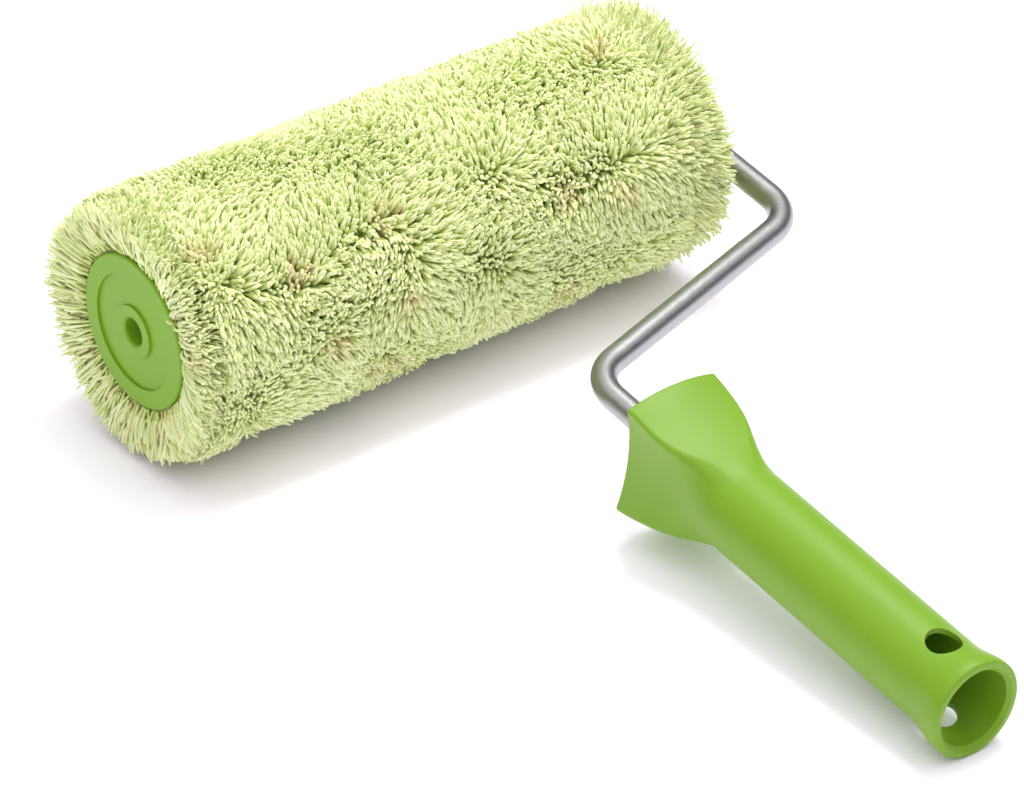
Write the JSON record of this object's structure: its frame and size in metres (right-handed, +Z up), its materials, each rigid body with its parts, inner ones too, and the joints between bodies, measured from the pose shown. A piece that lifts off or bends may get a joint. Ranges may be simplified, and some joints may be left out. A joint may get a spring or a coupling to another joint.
{
  "type": "paint roller",
  "caption": "Hand paint roller: a long-pile sleeve that spins on and pulls off a bent round rod, with a flared moulded handle that has a hanging hole and a hollow end for an extension pole.",
  "frame": {"origin": "on the floor, in the middle of the overall length and width", "axes": "+Z up; +X along the roller's axis from its free end to the rod's arm; -Y towards the handle"},
  "size_m": [0.208, 0.2978, 0.084],
  "materials": {
    "core": "matte extruded tube",
    "backing": "knitted backing",
    "pile": "long cut yarn pile, pale yellow green",
    "cap_plastic": "moulded, satin, mid green",
    "handle_plastic": "moulded, satin, lime green",
    "inner_plastic": "natural plastic, unpainted",
    "spring_steel": "bright spring steel",
    "plated_steel": "drawn rod, zinc plated"
  },
  "bodies": {
    "frame": {"wire_frame": "plated_steel", "stop_ring": "spring_steel", "handle": "handle_plastic"},
    "washer": {"thrust_washer": "inner_plastic"},
    "roller": {"core_tube": "core", "pile_backing": "backing", "pile_fleece": "pile", "outer_end_cap": "cap_plastic", "inner_end_cap": "cap_plastic", "guide_tube": "inner_plastic", "snap_collet": "inner_plastic", "collet_spring": "spring_steel"}
  },
  "joints": [
    {"name": "roller_spin", "type": "hinge", "parent": "frame", "child": "washer", "pos_m": [0.0844, 0.10695, 0.042], "axis": [1, 0, 0], "continuous": true},
    {"name": "roller_pull_off", "type": "slide", "parent": "washer", "child": "roller", "axis": [-1, 0, 0], "range_m": [0, 0.2], "deforming": ["snap_collet", "collet_spring"]}
  ]
}
